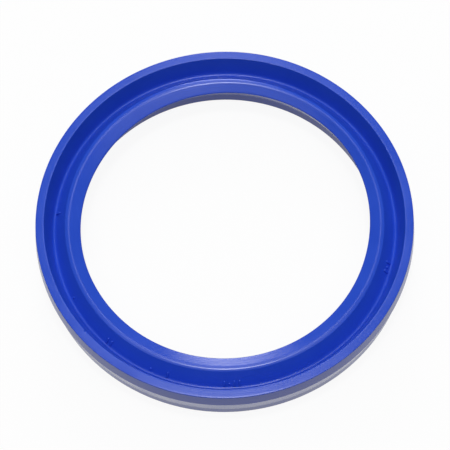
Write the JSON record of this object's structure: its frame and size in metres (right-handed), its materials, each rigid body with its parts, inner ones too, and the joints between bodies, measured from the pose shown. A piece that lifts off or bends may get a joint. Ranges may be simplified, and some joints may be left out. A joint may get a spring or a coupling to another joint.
{
  "type": "u cup seal",
  "caption": "Glossy blue polyurethane U-cup rod seal: a ring with a flat heel, a taller upright outer lip, a lower inward-leaning inner lip and a rounded V groove between them.",
  "frame": {"origin": "centre of the heel face, on the ring's axis", "axes": "+Z along the ring's axis, from the heel towards the lips; X and Y lie in the heel face"},
  "size_m": [0.091, 0.091, 0.012],
  "materials": {
    "polyurethane": "glossy cast polyurethane elastomer, ultramarine blue"
  },
  "bodies": {
    "root": {"seal_ring": "polyurethane"}
  },
  "joints": []
}
